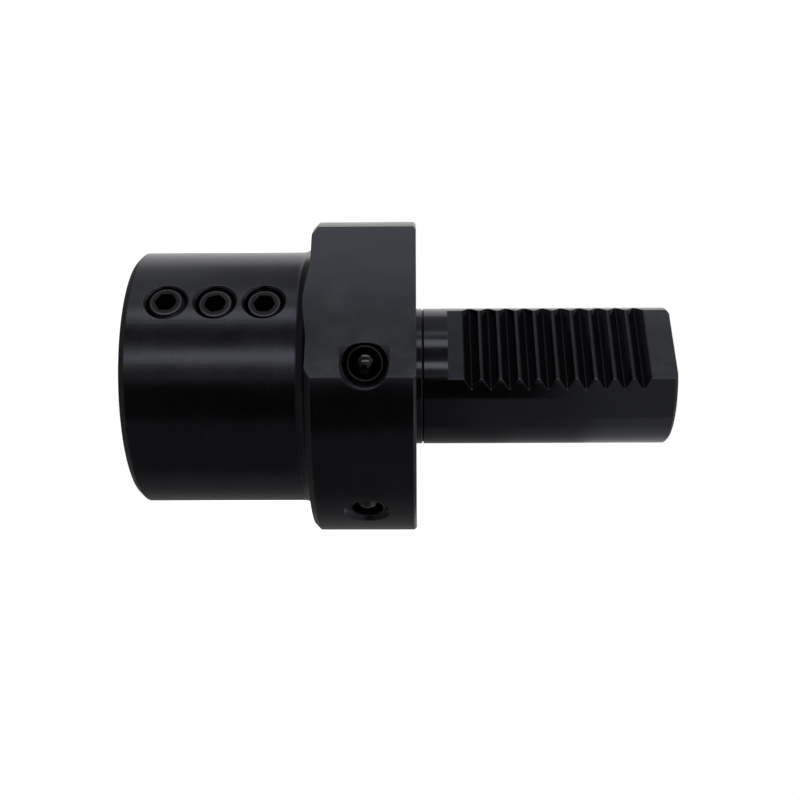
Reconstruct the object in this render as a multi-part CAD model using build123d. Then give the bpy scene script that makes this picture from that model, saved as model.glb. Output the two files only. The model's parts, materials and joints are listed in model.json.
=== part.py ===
from build123d import *
from build123d.topology import SkipClean
import math
import os

# A boring-bar holder for a turning machine's turret, in millimetres.
# The shank points along +Z, the seat face lies at Z = 0, and the three flats face -Y.
# Angles round the axis start at -Y and turn towards +X.

# Shank, which the turret grips
shank_diameter = 30.0
shank_length = 55.0
shank_end_chamfer = 0.6
root_groove_start = 1.2
root_groove_width = 0.35
root_groove_depth = 0.4

# Toothed flat along the shank, where the turret's wedge bites
rack_cut = 3.0
rack_start = 6.7
rack_lead_in = 5.0
rack_end_land = 7.0
groove_pitch = 4.0
groove_depth = 1.5
groove_root_width = 0.35
groove_flank_angle = 45.0

# Flange, with its flat for squaring up
flange_diameter = 68.0
flange_length = 22.0
flange_front_chamfer = 1.2
flange_back_chamfer = 0.5
flange_flat_cut = 6.0
flange_flat_edge_break = 0.25

# Clamping head
head_diameter = 55.0
head_length = 38.0
head_front_chamfer = 1.3
head_fillet = 2.6

# Tool bore
bore_diameter = 16.0
bore_depth = 54.0
bore_mouth_chamfer = 1.0
bore_end_cone = 3.0

# Clamp screws along the head, each with its own depth below the surface
clamp_thread_diameter = 8.0
clamp_first = 9.0
clamp_spacing = 10.0
clamp_countersink = 0.35
clamp_recess = {"front": 0.2, "middle": 0.8, "rear": 0.9}
clamp_tip_gap = 2.6
clamp_point = 1.1
clamp_socket = 4.0
clamp_socket_depth = 4.5

# Coolant drillings from the flange's rim to the tool bore, and their plugs
# The one beside the flat leans, so that it passes the holder's axis at its offset
drilling_angle = {"flat": 36.0, "side": 90.0}
drilling_offset = {"flat": 3.4, "side": 0.0}
drilling_from_seat = 10.2
drilling_diameter = 5.0
plug_lead_in = 0.7
plug_diameter = 7.4
plug_length = 7.2
plug_wall = 0.45
plug_floor = 0.6
ball_gap = 0.03

# U-shaped step milled for the plug beside the flat: depth below the rim, and its run out over the flat
step_width = 9.9
step_depth = 4.5
step_run = 8.0

# Coolant inlets in the seat face
inlet_diameter = 4.4
inlet_behind_plug = 0.5

# End of the shank: bore on through, a thread and its plug screw
core_diameter = 8.5
end_thread_diameter = 10.0
end_thread_runout = 5.0
end_thread_chamfer = 0.6
end_screw_length = 10.0
end_screw_recess = 3.0
end_screw_point = 1.2
end_screw_socket = 5.0
end_screw_socket_depth = 5.0

# Every set screw: chamfer at its socket end, and the gap to its hole on the radius
screw_end_chamfer = 0.55
thread_gap = 0.05

# How far a cut runs on past the surface that it opens
overrun = 1.0

# Sizes that follow from the ones above
shank_radius = shank_diameter / 2
flange_radius = flange_diameter / 2
head_radius = head_diameter / 2
bore_radius = bore_diameter / 2
plug_radius = plug_diameter / 2
clamp_thread_radius = clamp_thread_diameter / 2
end_thread_radius = end_thread_diameter / 2
flange_front = -flange_length
head_face = flange_front - head_length
bore_end = head_face + bore_depth
rack_height = shank_radius - rack_cut
flange_flat_height = flange_radius - flange_flat_cut
step_floor = flange_radius - step_depth
plug_mouth_radius = plug_radius + plug_lead_in
clamp_length = head_radius - bore_radius - max(clamp_recess.values()) - clamp_tip_gap


def around(angle):
    # Unit vector at an angle round the axis, from -Y towards +X
    turn = math.radians(angle)
    return Vector(math.sin(turn), -math.cos(turn), 0)


def radial(angle, height, distance):
    # Plane square to a radius, facing outwards, at a height and a distance from the axis
    outward = around(angle)
    return Plane(outward * distance + Vector(0, 0, height), x_dir=(0, 0, 1), z_dir=outward)


def rod(plane, radius, length):
    # Round bar that starts on the plane and runs along its normal
    return plane * Cylinder(radius, length, align=(Align.CENTER, Align.CENTER, Align.MIN))


def funnel(plane, inner_radius, depth, past):
    # 45 degree countersink: inner_radius at depth below the plane, widening on past it
    rise = depth + past
    cone = Cone(inner_radius, inner_radius + rise, rise, align=(Align.CENTER, Align.CENTER, Align.MIN))
    return plane * Pos(0, 0, -depth) * cone


def turned_blank():
    # Head, flange and shank in one turning
    lower = Polyline(
        (0, head_face),
        (head_radius - head_front_chamfer, head_face),
        (head_radius, head_face + head_front_chamfer),
        (head_radius, flange_front - head_fillet),
    )
    neck = CenterArc((head_radius + head_fillet, flange_front - head_fillet), head_fillet, 180, -90)
    upper = Polyline(
        (head_radius + head_fillet, flange_front),
        (flange_radius - flange_front_chamfer, flange_front),
        (flange_radius, flange_front + flange_front_chamfer),
        (flange_radius, -flange_back_chamfer),
        (flange_radius - flange_back_chamfer, 0),
        (shank_radius, 0),
        (shank_radius, root_groove_start),
        (shank_radius - root_groove_depth, root_groove_start),
        (shank_radius - root_groove_depth, root_groove_start + root_groove_width),
        (shank_radius, root_groove_start + root_groove_width),
        (shank_radius, shank_length - shank_end_chamfer),
        (shank_radius - shank_end_chamfer, shank_length),
        (0, shank_length),
        (0, head_face),
    )
    return revolve(make_face(Plane.XZ * (lower + neck + upper)), Axis.Z)


def tool_bore():
    # Reamed bore with a mouth chamfer, a cone at its end and the core hole on through
    face = Plane((0, 0, head_face))
    bottom = Plane((0, 0, bore_end))
    mouth_radius = bore_radius + bore_mouth_chamfer
    cone_length = min(bore_end_cone, bore_radius - core_diameter / 2)
    cut = rod(face, bore_radius, bore_depth)
    cut += face * Cone(
        mouth_radius, bore_radius, bore_mouth_chamfer, align=(Align.CENTER, Align.CENTER, Align.MIN)
    )
    cut += bottom * Cone(
        bore_radius, bore_radius - cone_length, cone_length, align=(Align.CENTER, Align.CENTER, Align.MIN)
    )
    cut += rod(bottom, core_diameter / 2, shank_length - bore_end)
    return cut


def end_thread():
    # Threaded mouth at the shank's end, drawn at its major diameter
    depth = end_screw_recess + end_screw_length + end_thread_runout
    end = Plane((0, 0, shank_length))
    cut = rod(Plane((0, 0, shank_length - depth)), end_thread_radius, depth)
    return cut + funnel(end, end_thread_radius, end_thread_chamfer, overrun)


def flat_cut(height, low, high):
    # Everything beyond a flat that faces -Y at that distance from the axis, between two heights
    reach = flange_radius
    block = Box(2 * reach, reach, high - low, align=(Align.CENTER, Align.MAX, Align.MIN))
    return Pos(0, -height, low) * block


def break_flat_edges(body):
    # Light chamfer along the two long edges of the flange's flat
    long_edges = body.edges().filter_by(Axis.Z).group_by(Axis.Y)[0]
    return chamfer(long_edges, flange_flat_edge_break)


def groove_centres():
    # As many grooves as the flat holds
    first = rack_start + rack_lead_in
    count = int((shank_length - first - rack_end_land) // groove_pitch) + 1
    return [first + groove_pitch * i for i in range(count)]


def groove_cut(height):
    # V groove with a narrow floor, across the flat
    spread = math.tan(math.radians(groove_flank_angle))
    floor = -(rack_height - groove_depth)
    top = -(shank_radius + overrun)
    half_floor = groove_root_width / 2
    half_top = half_floor + (floor - top) * spread
    outline = Polyline(
        (top, height - half_top), (floor, height - half_floor),
        (floor, height + half_floor), (top, height + half_top), close=True,
    )
    return extrude(make_face(Plane.YZ * outline), shank_radius, both=True)


def clamp_heights():
    names = list(clamp_recess)
    return {name: head_face + clamp_first + clamp_spacing * i for i, name in enumerate(names)}


def clamp_hole(height):
    # Threaded hole from the head's surface into the tool bore, drawn at its major diameter
    # The countersink is as deep as stated where the head's round surface is lowest
    sag = head_radius - math.sqrt(head_radius**2 - clamp_thread_radius**2)
    surface = radial(0, height, head_radius)
    cut = rod(radial(0, height, 0), clamp_thread_radius, head_radius + overrun)
    return cut + funnel(surface, clamp_thread_radius, clamp_countersink + sag, overrun)


def plug_mouth(name):
    # Beside the flat a plug starts from the milled step, elsewhere where the rim's round surface is lowest
    if name == "flat":
        return step_floor
    return math.sqrt(flange_radius**2 - plug_mouth_radius**2)


def drilling_plane(name, distance):
    # Place square to a drilling, centred on it, at a distance along it
    outwards = radial(drilling_angle[name], -drilling_from_seat, distance)
    return outwards * Plane((0, drilling_offset[name], 0))


def plug_seat(name):
    return plug_mouth(name) - plug_lead_in - plug_length


def milled_step():
    # U-shaped step round the plug's mouth, open towards the flange's flat
    floor = drilling_plane("flat", step_floor)
    height = step_depth + overrun
    run = Box(step_width, step_run, height, align=(Align.CENTER, Align.MIN, Align.MIN))
    return rod(floor, step_width / 2, height) + floor * run


def coolant_drilling(name):
    # Lead-in, plug seat and drilling from the rim to the tool bore, and the inlet that feeds it
    mouth = plug_mouth(name)
    seat = plug_seat(name)
    inlet_radius = inlet_diameter / 2
    inlet_distance = min(map(plug_seat, drilling_angle)) - inlet_behind_plug - inlet_radius
    inlet_foot = drilling_plane(name, inlet_distance).position
    # The lead-in ends at the step's floor, and elsewhere it opens through the round rim
    past = 0 if name == "flat" else overrun
    cut = funnel(drilling_plane(name, mouth), plug_radius, plug_lead_in, past)
    cut += rod(drilling_plane(name, seat), plug_radius, mouth - seat)
    cut += rod(drilling_plane(name, 0), drilling_diameter / 2, mouth)
    return cut + rod(Plane(inlet_foot), inlet_radius, drilling_from_seat + overrun)


def collar_apart(body):
    # One solid still, whose round collar has a face apart from the toothed length of the shank
    collar_end = Plane((0, 0, rack_start))
    below = body.split(collar_end, Keep.BOTTOM)
    above = body.split(collar_end, Keep.TOP)
    with SkipClean():
        return below.fuse(above)


def holder_body():
    body = turned_blank()
    body -= flat_cut(flange_flat_height, flange_front - head_fillet, 0)
    body = break_flat_edges(body)
    body -= flat_cut(rack_height, rack_start, shank_length)
    for height in groove_centres():
        body -= groove_cut(height)
    body -= tool_bore()
    body -= end_thread()
    for height in clamp_heights().values():
        body -= clamp_hole(height)
    body -= milled_step()
    for name in drilling_angle:
        body -= coolant_drilling(name)
    return collar_apart(body)


def set_screw(radius, length, point, socket, socket_depth):
    # Hex-socket set screw that stands on its chamfered point, socket end upwards
    bar = Cylinder(radius, length, align=(Align.CENTER, Align.CENTER, Align.MIN))
    point_edge = bar.edges().filter_by(GeomType.CIRCLE).sort_by(Axis.Z)[0]
    bar = chamfer(point_edge, point)
    socket_edge = bar.edges().filter_by(GeomType.CIRCLE).sort_by(Axis.Z)[-1]
    bar = chamfer(socket_edge, screw_end_chamfer)
    hexagon = RegularPolygon(socket / 2, 6, major_radius=False)
    return bar - Pos(0, 0, length - socket_depth) * extrude(hexagon, socket_depth)


def clamp_screw(name):
    # The screw's outer end lies below the head's surface by its recess
    tip = head_radius - clamp_recess[name] - clamp_length
    radius = clamp_thread_radius - thread_gap
    screw = set_screw(radius, clamp_length, clamp_point, clamp_socket, clamp_socket_depth)
    return radial(0, clamp_heights()[name], tip) * screw


def end_plug_screw():
    radius = end_thread_radius - thread_gap
    screw = set_screw(radius, end_screw_length, end_screw_point, end_screw_socket, end_screw_socket_depth)
    return Pos(0, 0, shank_length - end_screw_recess - end_screw_length) * screw


def plug_sleeve(name):
    # Thin cup pushed down onto the shoulder in its hole
    seat = drilling_plane(name, plug_seat(name))
    inside = drilling_plane(name, plug_seat(name) + plug_floor)
    cup = rod(seat, plug_radius - ball_gap, plug_length)
    return cup - rod(inside, plug_radius - plug_wall, plug_length)


def plug_ball(name):
    # Ball driven down onto the cup's floor
    radius = plug_radius - plug_wall - ball_gap
    return drilling_plane(name, plug_seat(name) + plug_floor + radius) * Sphere(radius)


def pieces():
    made = {"holder_body": holder_body(), "end_plug_screw": end_plug_screw()}
    for name in clamp_recess:
        made[f"clamp_screw_{name}"] = clamp_screw(name)
    for name in drilling_angle:
        made[f"plug_sleeve_{name}"] = plug_sleeve(name)
        made[f"plug_ball_{name}"] = plug_ball(name)
    return made


os.makedirs("parts", exist_ok=True)
for node, piece in pieces().items():
    piece.label = node
    export_step(piece, f"parts/{node}.step")
    print(node, "volume", round(piece.volume, 1))
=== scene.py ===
import json
import math
import bmesh
import bpy
from mathutils import Matrix, Vector


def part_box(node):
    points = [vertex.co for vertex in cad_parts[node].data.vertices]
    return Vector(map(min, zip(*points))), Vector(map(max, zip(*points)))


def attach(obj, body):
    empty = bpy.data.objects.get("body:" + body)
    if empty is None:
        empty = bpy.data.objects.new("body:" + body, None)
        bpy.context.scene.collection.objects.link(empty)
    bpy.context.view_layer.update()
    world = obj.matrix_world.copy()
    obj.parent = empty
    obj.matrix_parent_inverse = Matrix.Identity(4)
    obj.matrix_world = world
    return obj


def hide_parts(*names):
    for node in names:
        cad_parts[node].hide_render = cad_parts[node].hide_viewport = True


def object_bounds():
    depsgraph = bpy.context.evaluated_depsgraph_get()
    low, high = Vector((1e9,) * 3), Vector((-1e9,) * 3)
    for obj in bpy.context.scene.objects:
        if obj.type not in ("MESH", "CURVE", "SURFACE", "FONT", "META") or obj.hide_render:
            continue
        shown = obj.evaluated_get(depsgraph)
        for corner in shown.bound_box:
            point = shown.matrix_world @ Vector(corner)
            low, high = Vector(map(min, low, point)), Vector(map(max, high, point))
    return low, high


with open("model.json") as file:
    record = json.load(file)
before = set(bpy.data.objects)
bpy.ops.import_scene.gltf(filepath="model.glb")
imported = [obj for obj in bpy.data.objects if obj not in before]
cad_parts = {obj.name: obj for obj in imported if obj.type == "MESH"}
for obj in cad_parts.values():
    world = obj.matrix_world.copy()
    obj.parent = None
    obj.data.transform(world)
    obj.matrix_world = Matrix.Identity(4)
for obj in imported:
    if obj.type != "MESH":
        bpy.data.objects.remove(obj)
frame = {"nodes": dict(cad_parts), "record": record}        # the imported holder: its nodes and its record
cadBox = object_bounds()
print("frame loaded:", sorted(frame["nodes"]))

mm = 0.001
mounts = {mount["name"]: mount for mount in frame["record"]["mounts"]}
bodyLow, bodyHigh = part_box("holder_body")
# points that lie closer than this are one, by what made them
closer = {
    "drawn": 0.001 * mm, "turned": 0.002 * mm, "picked": 0.01 * mm, "cut": 0.015 * mm, "sliced": 0.0001 * mm,
}


# Small hand tools

def deselectAll():
    bpy.ops.object.select_all(action="DESELECT")


def pick(piece):
    deselectAll()
    piece.hide_set(False)
    piece.select_set(True)
    bpy.context.view_layer.objects.active = piece


def editMode(piece):
    pick(piece)
    bpy.ops.object.mode_set(mode="EDIT")


def objectMode():
    bpy.ops.object.mode_set(mode="OBJECT")


def selectPoints(piece, test):
    # in edit mode: the points that pass the test, and the edges and faces between them
    bpy.ops.mesh.select_mode(type="VERT")
    mesh = bmesh.from_edit_mesh(piece.data)
    for face in mesh.faces:
        face.select = False
    for edge in mesh.edges:
        edge.select = False
    for point in mesh.verts:
        point.select = test(point.co)
    mesh.select_flush(True)
    bmesh.update_edit_mesh(piece.data)


def selectEdges(piece, test):
    bpy.ops.mesh.select_mode(type="EDGE")
    mesh = bmesh.from_edit_mesh(piece.data)
    for item in [*mesh.verts, *mesh.edges, *mesh.faces]:
        item.select = False
    for edge in mesh.edges:
        if test(edge):
            edge.select = True
    mesh.select_flush_mode()
    bmesh.update_edit_mesh(piece.data)


def drawLine(name, points, closed=True):
    # a plane shrunk to one point, then extruded from point to point
    bpy.ops.mesh.primitive_plane_add(size=mm)
    piece = bpy.context.object
    piece.name = name
    bpy.ops.object.mode_set(mode="EDIT")
    bpy.ops.mesh.select_mode(type="VERT")
    bpy.ops.mesh.select_all(action="SELECT")
    bpy.ops.mesh.merge(type="CENTER")
    bpy.ops.transform.translate(value=points[0])
    stops = list(points) + ([points[0]] if closed else [])
    for here, there in zip(stops, stops[1:]):
        bpy.ops.mesh.extrude_region_move(TRANSFORM_OT_translate={"value": Vector(there) - Vector(here)})
    bpy.ops.mesh.select_all(action="SELECT")
    bpy.ops.mesh.remove_doubles(threshold=closer["drawn"])
    objectMode()
    return piece


def roundCorners(piece, corners, radius, segments=3):
    # rounds the points of a drawn line that lie at the given places
    editMode(piece)
    for corner in corners:
        spot = Vector(corner)
        selectPoints(piece, lambda co: (co - spot).length < closer["picked"])
        bpy.ops.mesh.bevel(
            affect="VERTICES", offset=radius, segments=segments, profile=0.5, clamp_overlap=False,
        )
    objectMode()


def extrudeOutline(piece, way):
    # fills a drawn outline and pulls it into a solid
    editMode(piece)
    bpy.ops.mesh.select_all(action="SELECT")
    bpy.ops.mesh.edge_face_add()
    bpy.ops.mesh.select_all(action="SELECT")
    bpy.ops.mesh.extrude_region_move(TRANSFORM_OT_translate={"value": way})
    bpy.ops.mesh.select_all(action="SELECT")
    bpy.ops.mesh.normals_make_consistent(inside=False)
    objectMode()


def turn(piece, steps):
    # a full turn of the drawn line round the Z axis
    editMode(piece)
    bpy.ops.mesh.select_all(action="SELECT")
    bpy.ops.mesh.spin(steps=steps, angle=2 * math.pi, center=(0, 0, 0), axis=(0, 0, 1))
    bpy.ops.mesh.select_all(action="SELECT")
    bpy.ops.mesh.remove_doubles(threshold=closer["turned"])
    bpy.ops.mesh.delete_loose()
    bpy.ops.mesh.select_all(action="SELECT")
    bpy.ops.mesh.normals_make_consistent(inside=False)
    objectMode()
    return piece


def place(piece, matrix):
    # moves the mesh itself, so that the object stays at the origin
    pick(piece)
    piece.matrix_world = matrix
    bpy.ops.object.transform_apply(location=True, rotation=True, scale=True)


def cutAway(piece, cutter):
    pick(piece)
    change = piece.modifiers.new("cut", "BOOLEAN")
    change.operation = "DIFFERENCE"
    change.solver = "EXACT"
    change.object = cutter
    bpy.ops.object.modifier_apply(modifier=change.name)
    bpy.data.objects.remove(cutter)


def smooth(piece, angle=30):
    # the large faces keep their own direction, and the narrow rounds between them bend
    pick(piece)
    bpy.ops.object.shade_smooth_by_angle(angle=math.radians(angle))
    weigh = piece.modifiers.new("weigh", "WEIGHTED_NORMAL")
    weigh.mode = "FACE_AREA"
    weigh.weight = 60
    weigh.keep_sharp = True
    bpy.ops.object.modifier_apply(modifier=weigh.name)


def copyOf(piece, name):
    twin = piece.copy()
    twin.data = piece.data.copy()
    twin.name = name
    bpy.context.scene.collection.objects.link(twin)
    return twin


def turnedPoints(pairs):
    # (radius, height) pairs in millimetres, as points in the XZ plane
    return [(radius * mm, 0, height * mm) for radius, height in pairs]


def outwards(angle, height, distance=0.0):
    # a frame on the holder whose Z axis points away from the holder's axis
    outward = Vector((math.sin(angle), -math.cos(angle), 0))
    up = Vector((0, 0, 1))
    side = up.cross(outward)
    turnIt = Matrix((up, side * -1, outward)).transposed().to_4x4()
    return Matrix.Translation(outward * distance + up * height) @ turnIt


# Materials

def makeMaterial(name):
    material = bpy.data.materials.new(name)
    material.use_nodes = True
    shader = material.node_tree.nodes["Principled BSDF"]
    return material, material.node_tree, shader


def addNode(tree, kind, **values):
    node = tree.nodes.new(kind)
    for key, value in values.items():
        setattr(node, key, value)
    return node


def groupTree(name, takes, gives):
    tree = bpy.data.node_groups.new(name, "ShaderNodeTree")
    for label, kind, start in takes:
        socket = tree.interface.new_socket(name=label, in_out="INPUT", socket_type=kind)
        if start is not None:
            socket.default_value = start
    for label, kind in gives:
        tree.interface.new_socket(name=label, in_out="OUTPUT", socket_type=kind)
    return tree, tree.nodes.new("NodeGroupInput"), tree.nodes.new("NodeGroupOutput")


def maths(tree, operation, first, second=None, third=None):
    node = addNode(tree, "ShaderNodeMath", operation=operation)
    for socket, value in zip(node.inputs, (first, second, third)):
        if value is None:
            continue
        if isinstance(value, (int, float)):
            socket.default_value = value
        else:
            tree.links.new(value, socket)
    return node.outputs[0]


def mixColours(tree, factor, first, second):
    node = addNode(tree, "ShaderNodeMix", data_type="RGBA")
    for socket, value in ((node.inputs["Factor"], factor), (node.inputs[6], first), (node.inputs[7], second)):
        if isinstance(value, (int, float, tuple)):
            socket.default_value = value
        else:
            tree.links.new(value, socket)
    return node.outputs[2]


def addNoise(tree, where, scale, detail, dimensions="3D"):
    # a 1D noise runs along a value, a 3D one through space
    noise = addNode(tree, "ShaderNodeTexNoise", noise_dimensions=dimensions)
    noise.inputs["Scale"].default_value = scale
    noise.inputs["Detail"].default_value = detail
    tree.links.new(where, noise.inputs["W" if dimensions == "1D" else "Vector"])
    return noise


# noise scales are per metre; a spread or a share says how much its pattern adds
oxidePattern = {
    "cloudScale": 130.0, "cloudDetail": 5.0, "cloudRoughness": 0.62, "cloudSpread": 0.16,
    "speckScale": 1500.0, "speckDetail": 2.0, "speckSpread": 0.08, "speckHeight": 0.25,
    "markScale": 6500.0, "markDetail": 2.0, "radialFeed": 0.37,
    "bandScale": 420.0, "bandDetail": 2.0, "bandShare": 0.35,
    "thinFrom": 0.42, "thinTo": 0.72, "thinShare": 0.55,
    "bumpStrength": 0.25, "bumpDistance": 0.004 * mm,
}


def makeOxideGroup():
    # mottled black oxide over machined steel: colour, roughness and height from the tool's marks
    p = oxidePattern
    tree, taken, given = groupTree(
        "machinedOxide",
        [
            ("Colour", "NodeSocketColor", (0.05, 0.052, 0.06, 1)),
            ("Thin Colour", "NodeSocketColor", (0.08, 0.083, 0.092, 1)),
            ("Roughness", "NodeSocketFloat", 0.25),
            ("Marks Along", "NodeSocketVector", (0, 0, 1)),
            ("Mark Depth", "NodeSocketFloat", 0.4),
        ],
        [("Colour", "NodeSocketColor"), ("Roughness", "NodeSocketFloat"), ("Height", "NodeSocketFloat")],
    )
    where = addNode(tree, "ShaderNodeTexCoord").outputs["Object"]
    clouds = addNoise(tree, where, p["cloudScale"], p["cloudDetail"])
    clouds.inputs["Roughness"].default_value = p["cloudRoughness"]
    specks = addNoise(tree, where, p["speckScale"], p["speckDetail"])
    # the marks change only along the tool's feed: along Z on a turned side, along the radius on a turned face
    along = addNode(tree, "ShaderNodeVectorMath", operation="DOT_PRODUCT")
    tree.links.new(where, along.inputs[0])
    tree.links.new(taken.outputs["Marks Along"], along.inputs[1])
    split = addNode(tree, "ShaderNodeSeparateXYZ")
    tree.links.new(where, split.inputs[0])
    flatPart = addNode(tree, "ShaderNodeCombineXYZ")
    tree.links.new(split.outputs["X"], flatPart.inputs["X"])
    tree.links.new(split.outputs["Y"], flatPart.inputs["Y"])
    radius = addNode(tree, "ShaderNodeVectorMath", operation="LENGTH")
    tree.links.new(flatPart.outputs[0], radius.inputs[0])
    feed = maths(tree, "MULTIPLY_ADD", radius.outputs["Value"], p["radialFeed"], along.outputs["Value"])
    marks = addNoise(tree, feed, p["markScale"], p["markDetail"], "1D")
    bands = addNoise(tree, feed, p["bandScale"], p["bandDetail"], "1D")
    thin = addNode(tree, "ShaderNodeMapRange")
    thin.inputs["From Min"].default_value = p["thinFrom"]
    thin.inputs["From Max"].default_value = p["thinTo"]
    tree.links.new(clouds.outputs["Fac"], thin.inputs["Value"])
    thinAndBands = maths(tree, "MULTIPLY_ADD", bands.outputs["Fac"], p["bandShare"], thin.outputs[0])
    thinShare = maths(tree, "MULTIPLY", thinAndBands, p["thinShare"])
    colour = mixColours(tree, thinShare, taken.outputs["Colour"], taken.outputs["Thin Colour"])
    tree.links.new(colour, given.inputs["Colour"])
    cloudy = maths(tree, "MULTIPLY_ADD", clouds.outputs["Fac"], p["cloudSpread"], -p["cloudSpread"] / 2)
    fine = maths(tree, "MULTIPLY_ADD", specks.outputs["Fac"], p["speckSpread"], -p["speckSpread"] / 2)
    rough = maths(tree, "ADD", maths(tree, "ADD", taken.outputs["Roughness"], cloudy), fine)
    tree.links.new(rough, given.inputs["Roughness"])
    markHeight = maths(tree, "MULTIPLY", marks.outputs["Fac"], taken.outputs["Mark Depth"])
    height = maths(tree, "MULTIPLY_ADD", specks.outputs["Fac"], p["speckHeight"], markHeight)
    tree.links.new(height, given.inputs["Height"])
    return tree


oxideGroup = makeOxideGroup()

# colour, its colour where the oxide is thin, roughness, the way of the tool's marks and their depth
finishes = {
    "turnedOxide": ((0.046, 0.048, 0.056), (0.066, 0.068, 0.076), 0.24, (0, 0, 1), 0.5),
    "groundOxide": ((0.046, 0.048, 0.056), (0.06, 0.062, 0.07), 0.15, (0, 0, 1), 0.25),
    "milledOxide": ((0.058, 0.061, 0.072), (0.084, 0.087, 0.099), 0.16, (1, 0, 0.12), 0.35),
    "rackOxide": ((0.037, 0.039, 0.045), (0.053, 0.055, 0.062), 0.18, (1, 0, 0.12), 0.35),
    "rubbedEdge": ((0.06, 0.062, 0.07), (0.16, 0.16, 0.17), 0.22, (0.6, 0.5, 0.7), 0.2),
    "stepOxide": ((0.05, 0.052, 0.06), (0.06, 0.062, 0.07), 0.08, (1, 0, 0.12), 0.2),
    # the next three are black oxide darkened further, as painted shade in the rack's roots, the drillings'
    # mouths and the ring groove
    "rootOxide": ((0.016, 0.016, 0.019), (0.024, 0.024, 0.027), 0.25, (1, 0, 0.12), 0.2),
    "mouthOxide": ((0.004, 0.004, 0.005), (0.006, 0.006, 0.007), 0.45, (0, 0, 1), 0.2),
    "grooveOxide": ((0.012, 0.012, 0.014), (0.016, 0.016, 0.018), 0.45, (0, 0, 1), 0.2),
    "screwOxide": ((0.024, 0.025, 0.028), (0.04, 0.041, 0.046), 0.33, (0, 1, 0), 0.3),
    "screwEdge": ((0.055, 0.056, 0.06), (0.11, 0.11, 0.115), 0.25, (0, 1, 0), 0.2),
    "sleeveSteel": ((0.045, 0.045, 0.044), (0.1, 0.1, 0.098), 0.28, (0.5, -0.86, 0), 0.3),
    "ballSteel": ((0.06, 0.06, 0.063), (0.085, 0.085, 0.09), 0.14, (0, 0, 1), 0.0),
}


def makeFinish(name, colour, thin, rough, marks, depth):
    material, tree, shader = makeMaterial(name)
    oxide = addNode(tree, "ShaderNodeGroup", node_tree=oxideGroup)
    oxide.inputs["Colour"].default_value = (*colour, 1)
    oxide.inputs["Thin Colour"].default_value = (*thin, 1)
    oxide.inputs["Roughness"].default_value = rough
    oxide.inputs["Marks Along"].default_value = marks
    oxide.inputs["Mark Depth"].default_value = depth
    shader.inputs["Metallic"].default_value = 1.0
    tree.links.new(oxide.outputs["Colour"], shader.inputs["Base Color"])
    tree.links.new(oxide.outputs["Roughness"], shader.inputs["Roughness"])
    bump = addNode(tree, "ShaderNodeBump")
    bump.inputs["Strength"].default_value = oxidePattern["bumpStrength"]
    bump.inputs["Distance"].default_value = oxidePattern["bumpDistance"]
    tree.links.new(oxide.outputs["Height"], bump.inputs["Height"])
    tree.links.new(bump.outputs["Normal"], shader.inputs["Normal"])
    return material


materials = {name: makeFinish(name, *look) for name, look in finishes.items()}
print("materials made:", sorted(materials))

# The holder's body

holder = {
    "headRadius": 27.5, "headFace": bodyLow.z / mm, "headChamfer": 1.3, "neckRadius": 2.6, "neckSteps": 10,
    "flangeRadius": bodyHigh.x / mm, "flangeFront": -22.0, "flangeFlat": -bodyLow.y / mm,
    "flangeFrontChamfer": 1.2, "flangeBackChamfer": 0.5,
    "shankRadius": mounts["shank"]["dims"]["r_mm"], "shankEnd": bodyHigh.z / mm, "shankChamfer": 0.6,
    "ringGroove": (1.2, 0.35, 0.4), "ringLip": 0.06,    # the groove's start, width and depth
    "boreRadius": mounts["tool_bore"]["dims"]["r_mm"], "boreMouth": 1.0, "boreEnd": -6.0, "coreRadius": 4.25,
    "endThreadRadius": 5.0, "endThreadStart": 37.0, "endThreadMouth": 0.6, "endThreadPitch": 1.5,
    "endThreadDepth": 0.45,
    "openTurn": (0.3, 0.42, 0.6, 1.02),    # gap above it, then where its crest starts and ends, and its end
    "edgeRadius": 0.12, "turnSteps": 240, "smoothAngle": 20,
}


def holderOutline():
    h = holder
    grooveStart, grooveWidth, grooveDepth = h["ringGroove"]
    outer = [
        (h["boreRadius"] + h["boreMouth"], h["headFace"]),
        (h["headRadius"] - h["headChamfer"], h["headFace"]),
        (h["headRadius"], h["headFace"] + h["headChamfer"]),
        (h["headRadius"], h["flangeFront"]),
        (h["flangeRadius"] - h["flangeFrontChamfer"], h["flangeFront"]),
        (h["flangeRadius"], h["flangeFront"] + h["flangeFrontChamfer"]),
        (h["flangeRadius"], -h["flangeBackChamfer"]),
        (h["flangeRadius"] - h["flangeBackChamfer"], 0),
        (h["shankRadius"], 0),
        (h["shankRadius"], grooveStart),
        (h["shankRadius"] - grooveDepth, grooveStart),
        (h["shankRadius"] - grooveDepth, grooveStart + grooveWidth),
        (h["shankRadius"], grooveStart + grooveWidth),
        (h["shankRadius"], h["shankEnd"] - h["shankChamfer"]),
        (h["shankRadius"] - h["shankChamfer"], h["shankEnd"]),
    ]
    threadTop = h["shankEnd"] - h["endThreadMouth"]
    inner = [(h["endThreadRadius"] + h["endThreadMouth"], h["shankEnd"]), (h["endThreadRadius"], threadTop)]
    # the one open turn of thread above the plug screw
    gap, crestStart, crestEnd, turnEnd = h["openTurn"]
    level = threadTop - gap
    crest = h["endThreadRadius"] - h["endThreadDepth"]
    inner += [
        (h["endThreadRadius"], level),
        (crest, level - crestStart),
        (crest, level - crestEnd),
        (h["endThreadRadius"], level - turnEnd),
        (h["endThreadRadius"], h["endThreadStart"]),
        (h["coreRadius"], h["endThreadStart"]),
        (h["coreRadius"], h["boreEnd"] + h["boreRadius"] - h["coreRadius"]),
        (h["boreRadius"], h["boreEnd"]),
        (h["boreRadius"], h["headFace"] + h["boreMouth"]),
    ]
    return outer, inner


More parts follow.
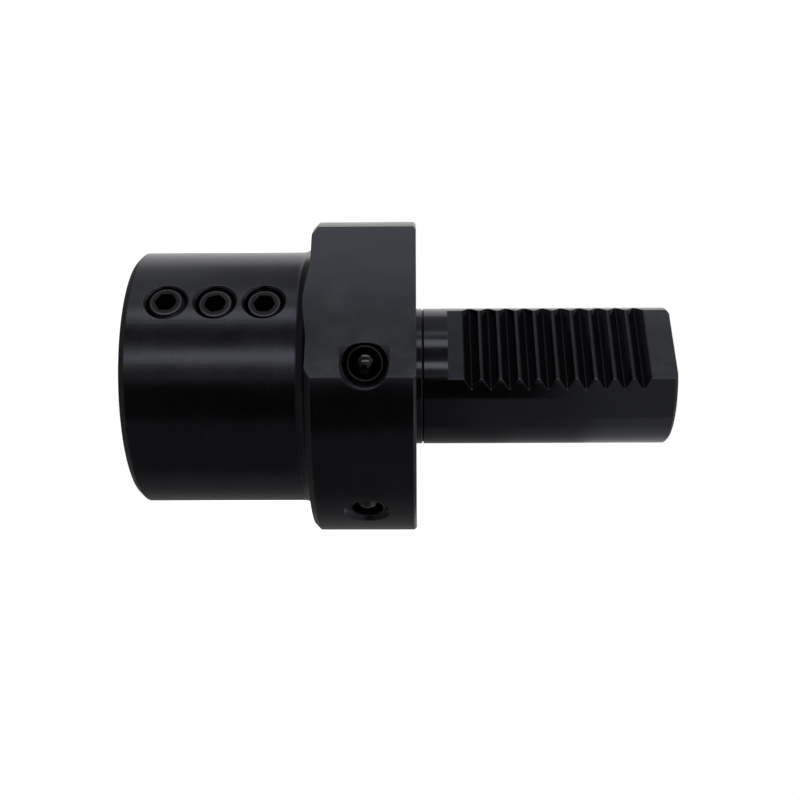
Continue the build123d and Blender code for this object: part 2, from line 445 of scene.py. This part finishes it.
def makeHolderBlank():
    outer, inner = holderOutline()
    blank = drawLine("holderSteel", turnedPoints(outer + inner))
    neck = (holder["headRadius"], holder["flangeFront"])
    roundCorners(blank, turnedPoints([neck]), holder["neckRadius"] * mm, segments=holder["neckSteps"])
    # the corner at the seat face and the groove's floor stay sharp
    seat = (holder["shankRadius"], 0)
    grooveAt = outer.index(seat) + 1
    groove = outer[grooveAt:grooveAt + 4]
    sharp = [point for point in outer if point not in (neck, seat, *groove)] + inner[:1] + inner[-1:]
    roundCorners(blank, turnedPoints(sharp), holder["edgeRadius"] * mm, segments=3)
    roundCorners(blank, turnedPoints([groove[0], groove[-1]]), holder["ringLip"] * mm, segments=2)
    return turn(blank, holder["turnSteps"])


def trimFlangeFlat(body):
    # the flat is one straight cut: only the flange and the neck reach that far out
    editMode(body)
    bpy.ops.mesh.select_all(action="SELECT")
    bpy.ops.mesh.bisect(
        plane_co=(0, -holder["flangeFlat"] * mm, 0), plane_no=(0, -1, 0), use_fill=True, clear_outer=True,
        threshold=closer["sliced"],
    )
    objectMode()


rack = {
    "flat": 12.0, "start": 6.7, "leadIn": 5.0, "pitch": 4.0, "count": 10, "depth": 1.5, "rootWidth": 0.35,
    "crestRadius": 0.22, "rootRadius": 0.16, "reach": 20.0, "past": 5.0,
}


def makeRackCutter():
    # comb-shaped outline in the YZ plane, extruded across the shank
    flat, root = -rack["flat"], -(rack["flat"] - rack["depth"])
    halfRoot = rack["rootWidth"] / 2
    halfTop = halfRoot + rack["depth"]
    comb = [(-rack["reach"], rack["start"]), (flat, rack["start"])]
    crests, roots = [], []
    for i in range(rack["count"]):
        centre = rack["start"] + rack["leadIn"] + rack["pitch"] * i
        crests += [(flat, centre - halfTop), (flat, centre + halfTop)]
        roots += [(root, centre - halfRoot), (root, centre + halfRoot)]
        comb += [
            (flat, centre - halfTop), (root, centre - halfRoot),
            (root, centre + halfRoot), (flat, centre + halfTop),
        ]
    beyond = holder["shankEnd"] + rack["past"]
    comb += [(flat, beyond), (-rack["reach"], beyond)]
    side = -rack["reach"] * mm
    cutter = drawLine("rackCutter", [(side, y * mm, z * mm) for y, z in comb])
    roundCorners(cutter, [(side, y * mm, z * mm) for y, z in crests], rack["crestRadius"] * mm, segments=3)
    roundCorners(cutter, [(side, y * mm, z * mm) for y, z in roots], rack["rootRadius"] * mm, segments=2)
    extrudeOutline(cutter, (2 * rack["reach"] * mm, 0, 0))
    return cutter


clampHole = {
    "radius": 4.0, "countersink": 0.35, "pitch": 1.25, "threadDepth": 0.42, "turns": 4, "steps": 72,
    "topGap": 0.35, "groove": (0.45, 0.6, 1.05),    # where a turn's root starts and ends, and its end
    "past": 1.0,
}
clampBody = {"front": "front_screw", "middle": "middle_screw", "rear": "rear_screw"}


def clampHeight(name):
    low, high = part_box(f"clamp_screw_{name}")
    return (low.z + high.z) / 2


def makeClampCutter(name):
    # stands with its mouth up; the origin is on the holder's axis
    hole = clampHole
    surface = holder["headRadius"]
    sag = surface - math.sqrt(surface**2 - hole["radius"]**2)
    low = surface - sag - hole["countersink"]
    outline = [(0, 0), (hole["radius"], 0)]
    rootStart, rootEnd, turnEnd = hole["groove"]
    firstTurn = low - hole["topGap"] - hole["turns"] * hole["pitch"]
    for i in range(hole["turns"]):
        level = firstTurn + i * hole["pitch"]
        outline += [
            (hole["radius"], level),
            (hole["radius"] + hole["threadDepth"], level + rootStart),
            (hole["radius"] + hole["threadDepth"], level + rootEnd),
            (hole["radius"], level + turnEnd),
        ]
    rise = surface + hole["past"] - low
    outline += [(hole["radius"], low), (hole["radius"] + rise, low + rise), (0, low + rise)]
    cutter = turn(drawLine("clampCutter", turnedPoints(outline)), hole["steps"])
    place(cutter, outwards(0, clampHeight(name)))
    return cutter


drilling = {
    "angle": {"flat": 36.0, "side": 90.0}, "boreRadius": 2.5, "plugRadius": 3.7, "leadIn": 0.7,
    "mouthWear": 0.12, "steps": 96, "past": 1.0,
    "inletRadius": 2.2, "inletChamfer": 0.3, "inletDistance": 18.9, "inletSteps": 64,
    "stepWidth": 9.9, "stepRun": 8.0, "stepHeight": 5.5, "stepFillet": 0.15, "stepArcSteps": 36,
}
sleeve = {"radius": 3.67, "wall": 0.42, "floor": 0.6, "length": 7.2, "rim": 0.13, "steps": 96}


def drillingPlace(name, distance):
    # a frame on a drilling's axis, that far out along it; the plug's ball says where the axis runs
    low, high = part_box(f"plug_ball_{name}")
    ball = (low + high) / 2
    turned = outwards(math.radians(drilling["angle"][name]), 0)
    outward = turned.col[2].xyz
    return Matrix.Translation(ball + outward * (distance * mm - ball.dot(outward))) @ turned


def plugSeat(name):
    low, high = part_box(f"plug_ball_{name}")
    outward = drillingPlace(name, 0).col[2].xyz
    return ((low + high) / 2).dot(outward) / mm - (high.z - low.z) / 2 / mm - sleeve["floor"]


def plugMouth(name):
    return plugSeat(name) + sleeve["length"] + drilling["leadIn"]


def makeDrillingCutter(name):
    # on the round rim the lead-in's cone runs on past it
    # beside the flat it rises straight from the step's floor
    d = drilling
    widening = 0 if name == "flat" else d["past"]
    wide = d["plugRadius"] + d["leadIn"] + d["mouthWear"]
    seat, mouth = plugSeat(name), plugMouth(name)
    outline = [
        (0, 0), (d["boreRadius"], 0), (d["boreRadius"], seat), (d["plugRadius"], seat),
        (d["plugRadius"], mouth - d["leadIn"]), (wide, mouth),
        (wide + widening, mouth + d["past"]), (0, mouth + d["past"]),
    ]
    cutter = turn(drawLine("drillingCutter", turnedPoints(outline)), d["steps"])
    place(cutter, drillingPlace(name, 0))
    return cutter


def makeStepCutter():
    # U-shaped, and open towards the flange's flat
    half, run, steps = drilling["stepWidth"] / 2 * mm, drilling["stepRun"] * mm, drilling["stepArcSteps"]
    arc = [math.pi * (1 + i / steps) for i in range(steps + 1)]
    line = [(half * math.cos(angle), half * math.sin(angle), 0) for angle in arc]
    cutter = drawLine("stepCutter", line + [(half, run, 0), (-half, run, 0)])
    extrudeOutline(cutter, (0, 0, drilling["stepHeight"] * mm))
    # the end mill's corner leaves a small round where the floor meets the wall
    editMode(cutter)
    selectEdges(cutter, lambda edge: all(abs(point.co.z) < closer["drawn"] for point in edge.verts))
    bpy.ops.mesh.bevel(affect="EDGES", offset=drilling["stepFillet"] * mm, segments=4, profile=0.5)
    objectMode()
    place(cutter, drillingPlace("flat", plugMouth("flat")))
    return cutter


def makeInletCutter(name):
    # from the drilling up through the seat face, with a light chamfer there
    d = drilling
    foot = drillingPlace(name, d["inletDistance"]).translation
    seatFace = -foot.z / mm
    outline = [
        (0, 0), (d["inletRadius"], 0), (d["inletRadius"], seatFace - d["inletChamfer"]),
        (d["inletRadius"] + d["inletChamfer"] + d["past"], seatFace + d["past"]), (0, seatFace + d["past"]),
    ]
    cutter = turn(drawLine("inletCutter", turnedPoints(outline)), d["inletSteps"])
    place(cutter, Matrix.Translation(foot))
    return cutter


rubbed = {
    "width": 0.09, "angle": 35, "steps": 2, "profile": 0.6,
    "skin": 0.8,         # an edge that lies deeper than this is inside a hole
    "headGap": 2.0, "seatGap": 0.5, "plugReach": 1.5,
}


def rubEdges(body):
    # a small round along every sharp outer edge that the cuts left
    editMode(body)
    bpy.ops.mesh.select_all(action="SELECT")
    bpy.ops.mesh.remove_doubles(threshold=closer["cut"])
    limit = math.radians(rubbed["angle"])
    shankLimit = (holder["endThreadRadius"] + rubbed["plugReach"]) * mm

    def isSharpOutside(edge):
        if len(edge.link_faces) != 2 or edge.calc_face_angle_signed(0) < limit:
            return False
        middle = (edge.verts[0].co + edge.verts[1].co) / 2
        # threads and crossings inside the holes stay as they were cut
        if middle.z < (holder["flangeFront"] - rubbed["headGap"]) * mm:
            return middle.y < (rubbed["skin"] - holder["headRadius"]) * mm
        if middle.z < -rubbed["seatGap"] * mm:
            return middle.xy.length > (holder["flangeFlat"] - rubbed["skin"]) * mm
        return middle.xy.length > shankLimit

    selectEdges(body, isSharpOutside)
    bpy.ops.mesh.bevel(
        affect="EDGES", offset=rubbed["width"] * mm, segments=rubbed["steps"], profile=rubbed["profile"],
        clamp_overlap=False,
    )
    bpy.ops.mesh.select_all(action="DESELECT")
    objectMode()
    # corners that the rounding pushed out go back to the flat and to the shank's end
    for point in body.data.vertices:
        point.co.y = max(point.co.y, -holder["flangeFlat"] * mm)
        point.co.z = min(point.co.z, holder["shankEnd"] * mm)


# how near, in millimetres, a face lies to the place whose finish it takes; a tilt is a part of its normal
paintReach = {
    "flatNormal": -0.65, "flatTilt": 0.01, "rackTilt": 0.1, "flat": 0.01, "rack": 0.2, "root": 0.12,
    "rootInside": 0.1, "grooveInside": 0.03, "grooveFloor": 0.1, "mouth": 0.3, "mouthFoot": 0.1,
    "step": 0.02, "stepPast": 1.0, "boreGap": 0.5, "edgeWidth": 0.075, "shank": 0.05,
}


def paintBody(body):
    # narrow faces are the rounded edges, the flats that face -Y were milled, and the round shank was ground;
    # the ring groove, the plugs' mouths and the rack's roots get painted shade
    slots = (
        "turnedOxide", "groundOxide", "milledOxide", "rackOxide", "rubbedEdge", "stepOxide", "rootOxide",
        "mouthOxide", "grooveOxide",
    )
    for name in slots:
        body.data.materials.append(materials[name])
    r, shankRadius = paintReach, holder["shankRadius"]
    rackFloor = rack["flat"] - rack["depth"]
    lastGroove = rack["start"] + rack["leadIn"] + rack["pitch"] * (rack["count"] - 1) + rack["pitch"] / 2
    grooveStart, grooveWidth, grooveDepth = holder["ringGroove"]
    fromStep = drillingPlace("flat", plugMouth("flat")).inverted()
    for face in body.data.polygons:
        corners = [body.data.vertices[i].co for i in face.vertices]
        around = sum((a - b).length for a, b in zip(corners, corners[1:] + corners[:1]))
        middle = face.center
        radius, height, side = middle.xy.length / mm, middle.z / mm, middle.y / mm
        facesFlat = face.normal.y < r["flatNormal"] and abs(face.normal.x) < r["flatTilt"]
        onStep = fromStep @ middle / mm
        aroundPlug = onStep.xy.length < drilling["plugRadius"] + drilling["leadIn"] + r["mouth"]
        onRack = rack["start"] < height < lastGroove and side < r["rack"] - rackFloor
        inRoot = height > rack["start"] and abs(side + rackFloor) < r["root"]
        finish = "turnedOxide"
        # painted shade: the inside of the ring groove is painted darker, for the shade that its depth would
        # give
        if radius < shankRadius - r["grooveInside"] and grooveStart < height < grooveStart + grooveWidth:
            finish = "grooveOxide" if radius > shankRadius - grooveDepth - r["grooveFloor"] else finish
        # painted shade: the lead-in cones round the plugs are painted near black, as if deep in shadow
        elif aroundPlug and -drilling["leadIn"] - r["mouthFoot"] < onStep.z < -r["step"]:
            finish = "mouthOxide"
        # painted shade: the rack's roots are painted darker, so that their floors don't catch the light
        elif inRoot and radius < shankRadius - r["rootInside"]:
            finish = "rootOxide"
        elif abs(onStep.z) < r["step"] and onStep.xy.length < drilling["stepRun"] + r["stepPast"]:
            finish = "stepOxide"
        elif onRack and abs(face.normal.x) < r["rackTilt"]:
            finish = "rackOxide"
        elif radius > holder["boreRadius"] + r["boreGap"] and 2 * face.area / around < r["edgeWidth"] * mm:
            finish = "rubbedEdge"
        elif facesFlat and (height > rack["start"] or abs(side + holder["flangeFlat"]) < r["flat"]):
            finish = "milledOxide"
        elif height > r["shank"] and abs(radius - shankRadius) < r["shank"]:
            finish = "groundOxide"
        face.material_index = slots.index(finish)


def makeHolder():
    body = makeHolderBlank()
    print("holder turned:", len(body.data.polygons), "faces")
    trimFlangeFlat(body)
    cutAway(body, makeRackCutter())
    for name in clampBody:
        cutAway(body, makeClampCutter(name))
    cutAway(body, makeStepCutter())
    for name in drilling["angle"]:
        cutAway(body, makeDrillingCutter(name))
        cutAway(body, makeInletCutter(name))
    rubEdges(body)
    paintBody(body)
    smooth(body, holder["smoothAngle"])
    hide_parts("holder_body")
    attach(body, "holder")
    print("holder cut:", len(body.data.polygons), "faces")


makeHolder()

# Set screws with a real thread, a hex socket and a chamfered end

setScrew = {
    "steps": 48, "trimSteps": 64, "endChamfer": 0.75, "pointChamfer": 1.1, "ring": 1.05, "ringSlope": 0.14,
    "socket": 4.0, "socketDepth": 4.5, "mouth": 0.1, "reach": 1.0, "past": 0.1,
    "wornDepth": 0.6, "wornTilt": (0.9, 0.998), "smoothAngle": 28,
}
endPlug = {"socket": 5.0, "socketDepth": 5.0}
# in pitches: the thread's depth, where its crest ends, where its root starts and ends, and turns to spare
threadForm = {"depth": 0.58, "crest": 0.14, "root": (0.5, 0.64), "below": 2, "spare": 5}


def makeThread(name, radius, pitch, length):
    # one pitch of thread, wound up by the Screw modifier and cut square at both ends
    form = threadForm
    rootRadius = radius - form["depth"] * pitch
    rootStart, rootEnd = form["root"]
    tooth = [
        (radius, 0), (radius, form["crest"]), (rootRadius, rootStart), (rootRadius, rootEnd), (radius, 1),
    ]
    levels = [(r, z * pitch - form["below"] * pitch) for r, z in tooth]
    line = drawLine(name, turnedPoints(levels), closed=False)
    wind = line.modifiers.new("wind", "SCREW")
    wind.axis = "Z"
    wind.screw_offset = pitch * mm
    wind.iterations = int(length / pitch) + form["spare"]
    wind.steps = setScrew["steps"]
    wind.render_steps = setScrew["steps"]
    wind.use_normal_calculate = True
    pick(line)
    bpy.ops.object.modifier_apply(modifier=wind.name)
    editMode(line)
    bpy.ops.mesh.select_all(action="SELECT")
    bpy.ops.mesh.remove_doubles(threshold=closer["turned"])
    for level, outer in ((0, False), (length, True)):
        bpy.ops.mesh.select_all(action="SELECT")
        bpy.ops.mesh.bisect(
            plane_co=(0, 0, level * mm), plane_no=(0, 0, 1), use_fill=True, threshold=closer["sliced"],
            clear_outer=outer, clear_inner=not outer,
        )
    bpy.ops.mesh.select_all(action="SELECT")
    bpy.ops.mesh.normals_make_consistent(inside=False)
    objectMode()
    return line


def makeSetScrew(name, radius, pitch, length, socket, socketDepth):
    # stands on its point, with the socket up
    screw = makeThread(name, radius, pitch, length)
    s = setScrew
    wide = radius + s["reach"]
    # the chamfer and the ring at the socket's end, then the point: cones that trim the thread
    trims = (
        [(radius - s["endChamfer"], length), (wide, length - s["endChamfer"] - s["reach"])],
        [(radius - s["ring"], length), (wide, length - s["ringSlope"] * (s["ring"] + s["reach"]))],
        [(radius - s["pointChamfer"], 0), (wide, s["pointChamfer"] + s["reach"])],
    )
    for (tipRadius, tipLevel), (wideRadius, wideLevel) in trims:
        past = s["past"] if tipLevel > wideLevel else -s["past"]
        widening = (wideRadius - tipRadius) / (tipLevel - wideLevel)
        outline = [
            (tipRadius - past * widening, tipLevel + past),
            (wideRadius, wideLevel),
            (wideRadius, tipLevel + past),
        ]
        cutAway(screw, turn(drawLine("trim", turnedPoints(outline)), s["trimSteps"]))
    halfSide = math.radians(30)    # half of the angle that one of the hexagon's sides takes
    corner = socket / 2 / math.cos(halfSide)
    bpy.ops.mesh.primitive_cylinder_add(
        vertices=6, radius=corner * mm, depth=2 * socketDepth * mm, location=(0, 0, length * mm),
        rotation=(0, 0, halfSide),
    )
    hexKey = bpy.context.object
    place(hexKey, hexKey.matrix_world.copy())
    cutAway(screw, hexKey)
    # a light countersink, inside the hexagon's corners so that they stay sharp
    deep, past = s["mouth"], s["past"]
    mouth = [
        (0, length - deep), (socket / 2, length - deep), (socket / 2 + deep + past, length + past),
        (0, length + past),
    ]
    cutAway(screw, turn(drawLine("mouth", turnedPoints(mouth)), s["trimSteps"]))
    paintScrew(screw, length)
    return screw


def paintScrew(screw, length):
    # the ring round the socket is worn brighter
    screw.data.materials.append(materials["screwOxide"])
    screw.data.materials.append(materials["screwEdge"])
    low, high = setScrew["wornTilt"]
    for face in screw.data.polygons:
        if face.center.z > (length - setScrew["wornDepth"]) * mm and low < face.normal.z < high:
            face.material_index = 1


def finishScrew(screw, node, body):
    editMode(screw)
    bpy.ops.mesh.select_all(action="SELECT")
    bpy.ops.mesh.remove_doubles(threshold=closer["picked"])
    objectMode()
    smooth(screw, setScrew["smoothAngle"])
    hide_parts(node)
    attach(screw, body)


hexTurn = {"front": 0, "middle": 17, "rear": -5}    # degrees that each clamp screw is turned in


def makeClampScrews():
    low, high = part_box("clamp_screw_front")
    radius, length = (high.x - low.x) / 2 / mm, (high.y - low.y) / mm
    socket, socketDepth = setScrew["socket"], setScrew["socketDepth"]
    first = makeSetScrew("clampScrew", radius, clampHole["pitch"], length, socket, socketDepth)
    for name, body in clampBody.items():
        node = f"clamp_screw_{name}"
        low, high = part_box(node)
        screw = copyOf(first, f"clampScrew_{name}")
        turnIt = Matrix.Rotation(math.radians(hexTurn[name]), 4, "Z")
        place(screw, outwards(0, clampHeight(name), -high.y) @ turnIt)
        finishScrew(screw, node, body)
    bpy.data.objects.remove(first)


def makeEndPlug():
    low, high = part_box("end_plug_screw")
    radius, length = (high.x - low.x) / 2 / mm, (high.z - low.z) / mm
    socket, socketDepth = endPlug["socket"], endPlug["socketDepth"]
    screw = makeSetScrew("endPlugScrew", radius, holder["endThreadPitch"], length, socket, socketDepth)
    place(screw, Matrix.Translation((0, 0, low.z)))
    finishScrew(screw, "end_plug_screw", "holder")


makeClampScrews()
makeEndPlug()
print("screws made")

# Plugs: a thin sleeve with a ball pressed into it

def makeSleeve(name):
    s = sleeve
    inside = s["radius"] - s["wall"]
    outline = [
        (0, 0), (s["radius"], 0), (s["radius"], s["length"]), (inside, s["length"]),
        (inside, s["floor"]), (0, s["floor"]),
    ]
    cup = drawLine(f"plugSleeve_{name}", turnedPoints(outline))
    roundCorners(cup, turnedPoints([(s["radius"], s["length"])]), s["rim"] * mm, segments=4)
    roundCorners(cup, turnedPoints([(inside, s["length"])]), s["rim"] / 2 * mm, segments=3)
    turn(cup, s["steps"])
    place(cup, drillingPlace(name, plugSeat(name)))
    cup.data.materials.append(materials["sleeveSteel"])
    smooth(cup)
    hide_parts(f"plug_sleeve_{name}")
    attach(cup, "holder")


for name in drilling["angle"]:
    makeSleeve(name)
    ball = frame["nodes"][f"plug_ball_{name}"]
    ball.data.materials.clear()
    ball.data.materials.append(materials["ballSteel"])
print("plugs made")

# Camera: beside the holder, level with its seat face, and rolled so that the shank points right

camera = {
    "tilt": 34.0,           # degrees between the way that the flats face and the view
    "distance": 256.74, "below": 0.709, "along": 0.0,
    "yaw": -0.0143, "pitch": 0.018, "roll": 0.004,
    "lens": 51.79, "sensorWidth": 36, "clipStart": 0.01,
}


def makeCamera():
    tilt = math.radians(camera["tilt"])
    right = Vector((0, 0, 1))
    up = Vector((-math.cos(tilt), -math.sin(tilt), 0))
    back = Vector((math.sin(tilt), -math.cos(tilt), 0))
    spot = right * camera["along"] * mm - up * camera["below"] * mm + back * camera["distance"] * mm
    standard = Matrix((right, up, back))
    yaw = Matrix.Rotation(camera["yaw"], 3, "Y")
    pitch = Matrix.Rotation(camera["pitch"], 3, "X")
    roll = Matrix.Rotation(camera["roll"], 3, "Z")
    turnIt = (roll @ pitch @ yaw @ standard).transposed()
    data = bpy.data.cameras.new("photoCamera")
    data.lens = camera["lens"]
    data.sensor_width = camera["sensorWidth"]
    data.clip_start = camera["clipStart"]
    view = bpy.data.objects.new("photoCamera", data)
    view.matrix_world = Matrix.Translation(spot) @ turnIt.to_4x4()
    bpy.context.scene.collection.objects.link(view)
    bpy.context.scene.camera = view
    return back, up


towardsCamera, pictureUp = makeCamera()
bpy.context.scene.view_settings.view_transform = "Standard"

# Floor, world, lamps, and the cards that only the metal sees

studio = {
    "floorSize": 4.0, "floorColour": 0.36, "floorGlow": 0.86,
    "fill": 0.45, "lampPower": 9.0, "lampSize": 0.5, "lampDistance": 0.9, "lampAlong": 0.9,
    "cardRadius": 0.5, "cardSteps": 12, "discSteps": 48,
}
# each lamp: angle up from the camera's line of sight, and its share of the power
lamps = {"keyLamp": (62, 1.0), "fillLamp": (-40, 0.5)}
# each card: angles up from the camera's line of sight (picture-up is 90), bottom and top in metres along
# the holder, and how bright it is
edge, far = 0.22, 0.5    # how far the bands reach each way, and the cards beyond them
cards = {
    "besideLens": (-2, 0.5, -edge, edge, 0.5),
    "byCamera": (0.5, 12.5, -edge, edge, 0.18),
    "strip": (12.5, 22, -edge, edge, 1.9),
    "gap": (22, 49.5, -edge, edge, 0.1),
    "softbox": (49.5, 62, -edge, edge, 1.6),
    "fadeLow": (62, 69, -edge, edge, 0.3),
    "fadeMiddle": (69, 72, -edge, edge, 0.55),
    "fadeHigh": (72, 75, -edge, edge, 0.85),
    "fadeTop": (75, 78, -edge, edge, 0.95),
    "ceiling": (78, 81, -edge, edge, 0.55),
    "upperWall": (81, 120, -0.09, edge, 0.34),
    "upperWallHead": (81, 120, -0.14, -0.09, 0.46),
    "upperWallFront": (81, 120, -edge, -0.14, 0.68),
    "rearPanel": (120, 178, -edge, edge, 0.95),
    "rearLow": (178, 262, -edge, 0.06, 0.16),
    "rearLowMiddle": (178, 262, 0.06, 0.11, 0.24),
    "rearLowEnd": (178, 262, 0.11, edge, 0.5),
    "lowWall": (262, 322, -edge, 0.035, 0.09),
    "lowWallMiddle": (262, 322, 0.035, 0.11, 0.18),
    "lowWallEnd": (262, 285, 0.11, edge, 0.4),
    "lowWallEndHigh": (285, 322, 0.11, edge, 0.26),
    "dark": (322, 358, -edge, 0.09, 0.01),
    "darkEnd": (322, 358, 0.09, edge, 0.27),
    # above and below the bands, for views from higher and lower; dark where the rack's flanks look
    "above": (155, 445, edge, far, 0.26),
    "aboveRack": (85, 155, edge, far, 0.14),
    "below": (155, 445, -far, -edge, 0.12),
    "belowRack": (85, 155, -far, -edge, 0.12),
}
# the discs that close the ring of cards: radius, place and brightness
discs = {
    "discAbove": (0.505, (0, 0, far), 0.4),
    "discRack": (0.15, (-0.33, -0.08, 0.49), 0.11),
    "discBelow": (0.505, (0, 0, -far), 0.13),
}


def seenByEye(tree):
    # 1 for what the camera sees straight, mirrored or through glass
    path = addNode(tree, "ShaderNodeLightPath")
    straight = maths(tree, "MAXIMUM", path.outputs["Is Camera Ray"], path.outputs["Is Glossy Ray"])
    return maths(tree, "MAXIMUM", straight, path.outputs["Is Transmission Ray"])


def makeFloor():
    bpy.ops.mesh.primitive_plane_add(size=studio["floorSize"], location=(0, 0, cadBox[0].z))
    floor = bpy.context.object
    floor.name = "floor"
    material, tree, shader = makeMaterial("whiteFloor")
    grey = studio["floorColour"]
    shader.inputs["Base Color"].default_value = (grey, grey, grey, 1)
    shader.inputs["Roughness"].default_value = 1.0
    shader.inputs["Specular IOR Level"].default_value = 0.0
    shader.inputs["Emission Color"].default_value = (1, 1, 1, 1)
    glow = maths(tree, "MULTIPLY", seenByEye(tree), studio["floorGlow"])
    tree.links.new(glow, shader.inputs["Emission Strength"])
    floor.data.materials.append(material)
    floor.visible_glossy = False      # the cards' bands run on down the head, as in the photograph


def makeWorld():
    world = bpy.data.worlds.new("studio")
    bpy.context.scene.world = world
    world.use_nodes = True
    tree = world.node_tree
    sky = tree.nodes["Background"]
    sky.inputs["Color"].default_value = (1, 1, 1, 1)
    fill = studio["fill"]
    strength = maths(tree, "MULTIPLY_ADD", seenByEye(tree), 1 - fill, fill)
    tree.links.new(strength, sky.inputs["Strength"])


def makeLamp(name, angle, share):
    data = bpy.data.lights.new(name, "AREA")
    data.size = studio["lampSize"]
    data.energy = studio["lampPower"] * share
    lamp = bpy.data.objects.new(name, data)
    turnIt = math.radians(angle)
    along = Vector((0, 0, studio["lampAlong"]))
    way = towardsCamera * math.cos(turnIt) + pictureUp * math.sin(turnIt) + along
    lamp.location = way.normalized() * studio["lampDistance"]
    lamp.rotation_mode = "QUATERNION"
    lamp.rotation_quaternion = lamp.location.to_track_quat("Z", "Y")
    lamp.visible_glossy = False
    bpy.context.scene.collection.objects.link(lamp)


def cardMaterial(name, bright):
    material, _, shader = makeMaterial(name)
    shader.inputs["Base Color"].default_value = (0, 0, 0, 1)
    shader.inputs["Specular IOR Level"].default_value = 0.0
    shader.inputs["Emission Color"].default_value = (1, 1, 1, 1)
    shader.inputs["Emission Strength"].default_value = bright
    return material


def showToMetalOnly(card):
    card.visible_camera = False
    card.visible_diffuse = False
    card.visible_shadow = False


def makeCard(name, low, high, bottom, top, bright):
    # towards picture-up is clockwise seen from above
    startAngle = math.atan2(towardsCamera.y, towardsCamera.x)
    radius, steps = studio["cardRadius"], studio["cardSteps"]
    angles = [startAngle - math.radians(low + (high - low) * i / steps) for i in range(steps + 1)]
    arc = [(radius * math.cos(angle), radius * math.sin(angle), bottom) for angle in angles]
    card = drawLine(f"card_{name}", arc, closed=False)
    editMode(card)
    bpy.ops.mesh.select_all(action="SELECT")
    bpy.ops.mesh.extrude_region_move(TRANSFORM_OT_translate={"value": (0, 0, top - bottom)})
    objectMode()
    card.data.materials.append(cardMaterial(f"card_{name}", bright))
    showToMetalOnly(card)


def makeCards():
    for name, card in cards.items():
        makeCard(name, *card)
    for name, (radius, middle, bright) in discs.items():
        bpy.ops.mesh.primitive_circle_add(
            vertices=studio["discSteps"], radius=radius, fill_type="NGON", location=middle,
        )
        disc = bpy.context.object
        disc.name = name
        place(disc, disc.matrix_world.copy())
        disc.data.materials.append(cardMaterial(name, bright))
        showToMetalOnly(disc)


makeFloor()
makeWorld()
for name, (angle, share) in lamps.items():
    makeLamp(name, angle, share)
makeCards()
print("studio made")
